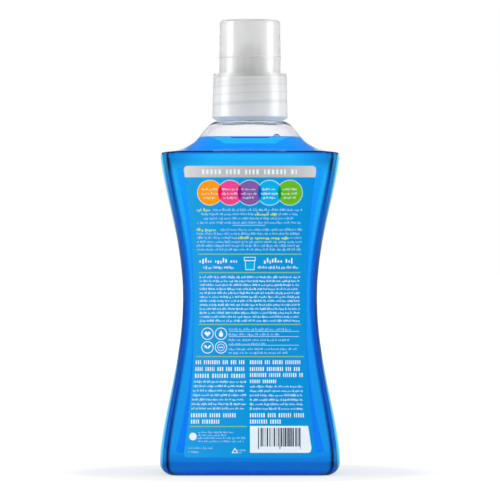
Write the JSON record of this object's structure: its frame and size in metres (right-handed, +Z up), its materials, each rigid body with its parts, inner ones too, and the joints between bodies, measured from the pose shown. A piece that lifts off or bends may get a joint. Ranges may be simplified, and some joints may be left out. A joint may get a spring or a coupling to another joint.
{
  "type": "laundry detergent bottle",
  "caption": "Waisted clear bottle full of blue liquid detergent, with a frosted spout collar and a screw-on dosing cup.",
  "frame": {"origin": "middle of the foot, on the surface that the bottle stands on", "axes": "+X to the right across the width of the back label's face, +Y away from that face through the depth, +Z up along the neck"},
  "size_m": [0.1144, 0.0818, 0.2872],
  "materials": {
    "clear_shell": "clear, smooth blown plastic",
    "blue_liquid": "clear blue liquid",
    "frosted_collar": "translucent frosted moulding",
    "frosted_cap": "translucent frosted moulding",
    "printed_film": "printed glossy film"
  },
  "bodies": {
    "filled_bottle": {"bottle": "clear_shell", "detergent": "blue_liquid", "spout_collar": "frosted_collar", "back_label": "printed_film", "front_label": "printed_film"},
    "cap": {"dosing_cap": "frosted_cap"}
  },
  "joints": [
    {"name": "cap_lift", "type": "slide", "parent": "filled_bottle", "child": "cap", "axis": [0, 0, 1], "range_m": [0, 0.06]}
  ]
}
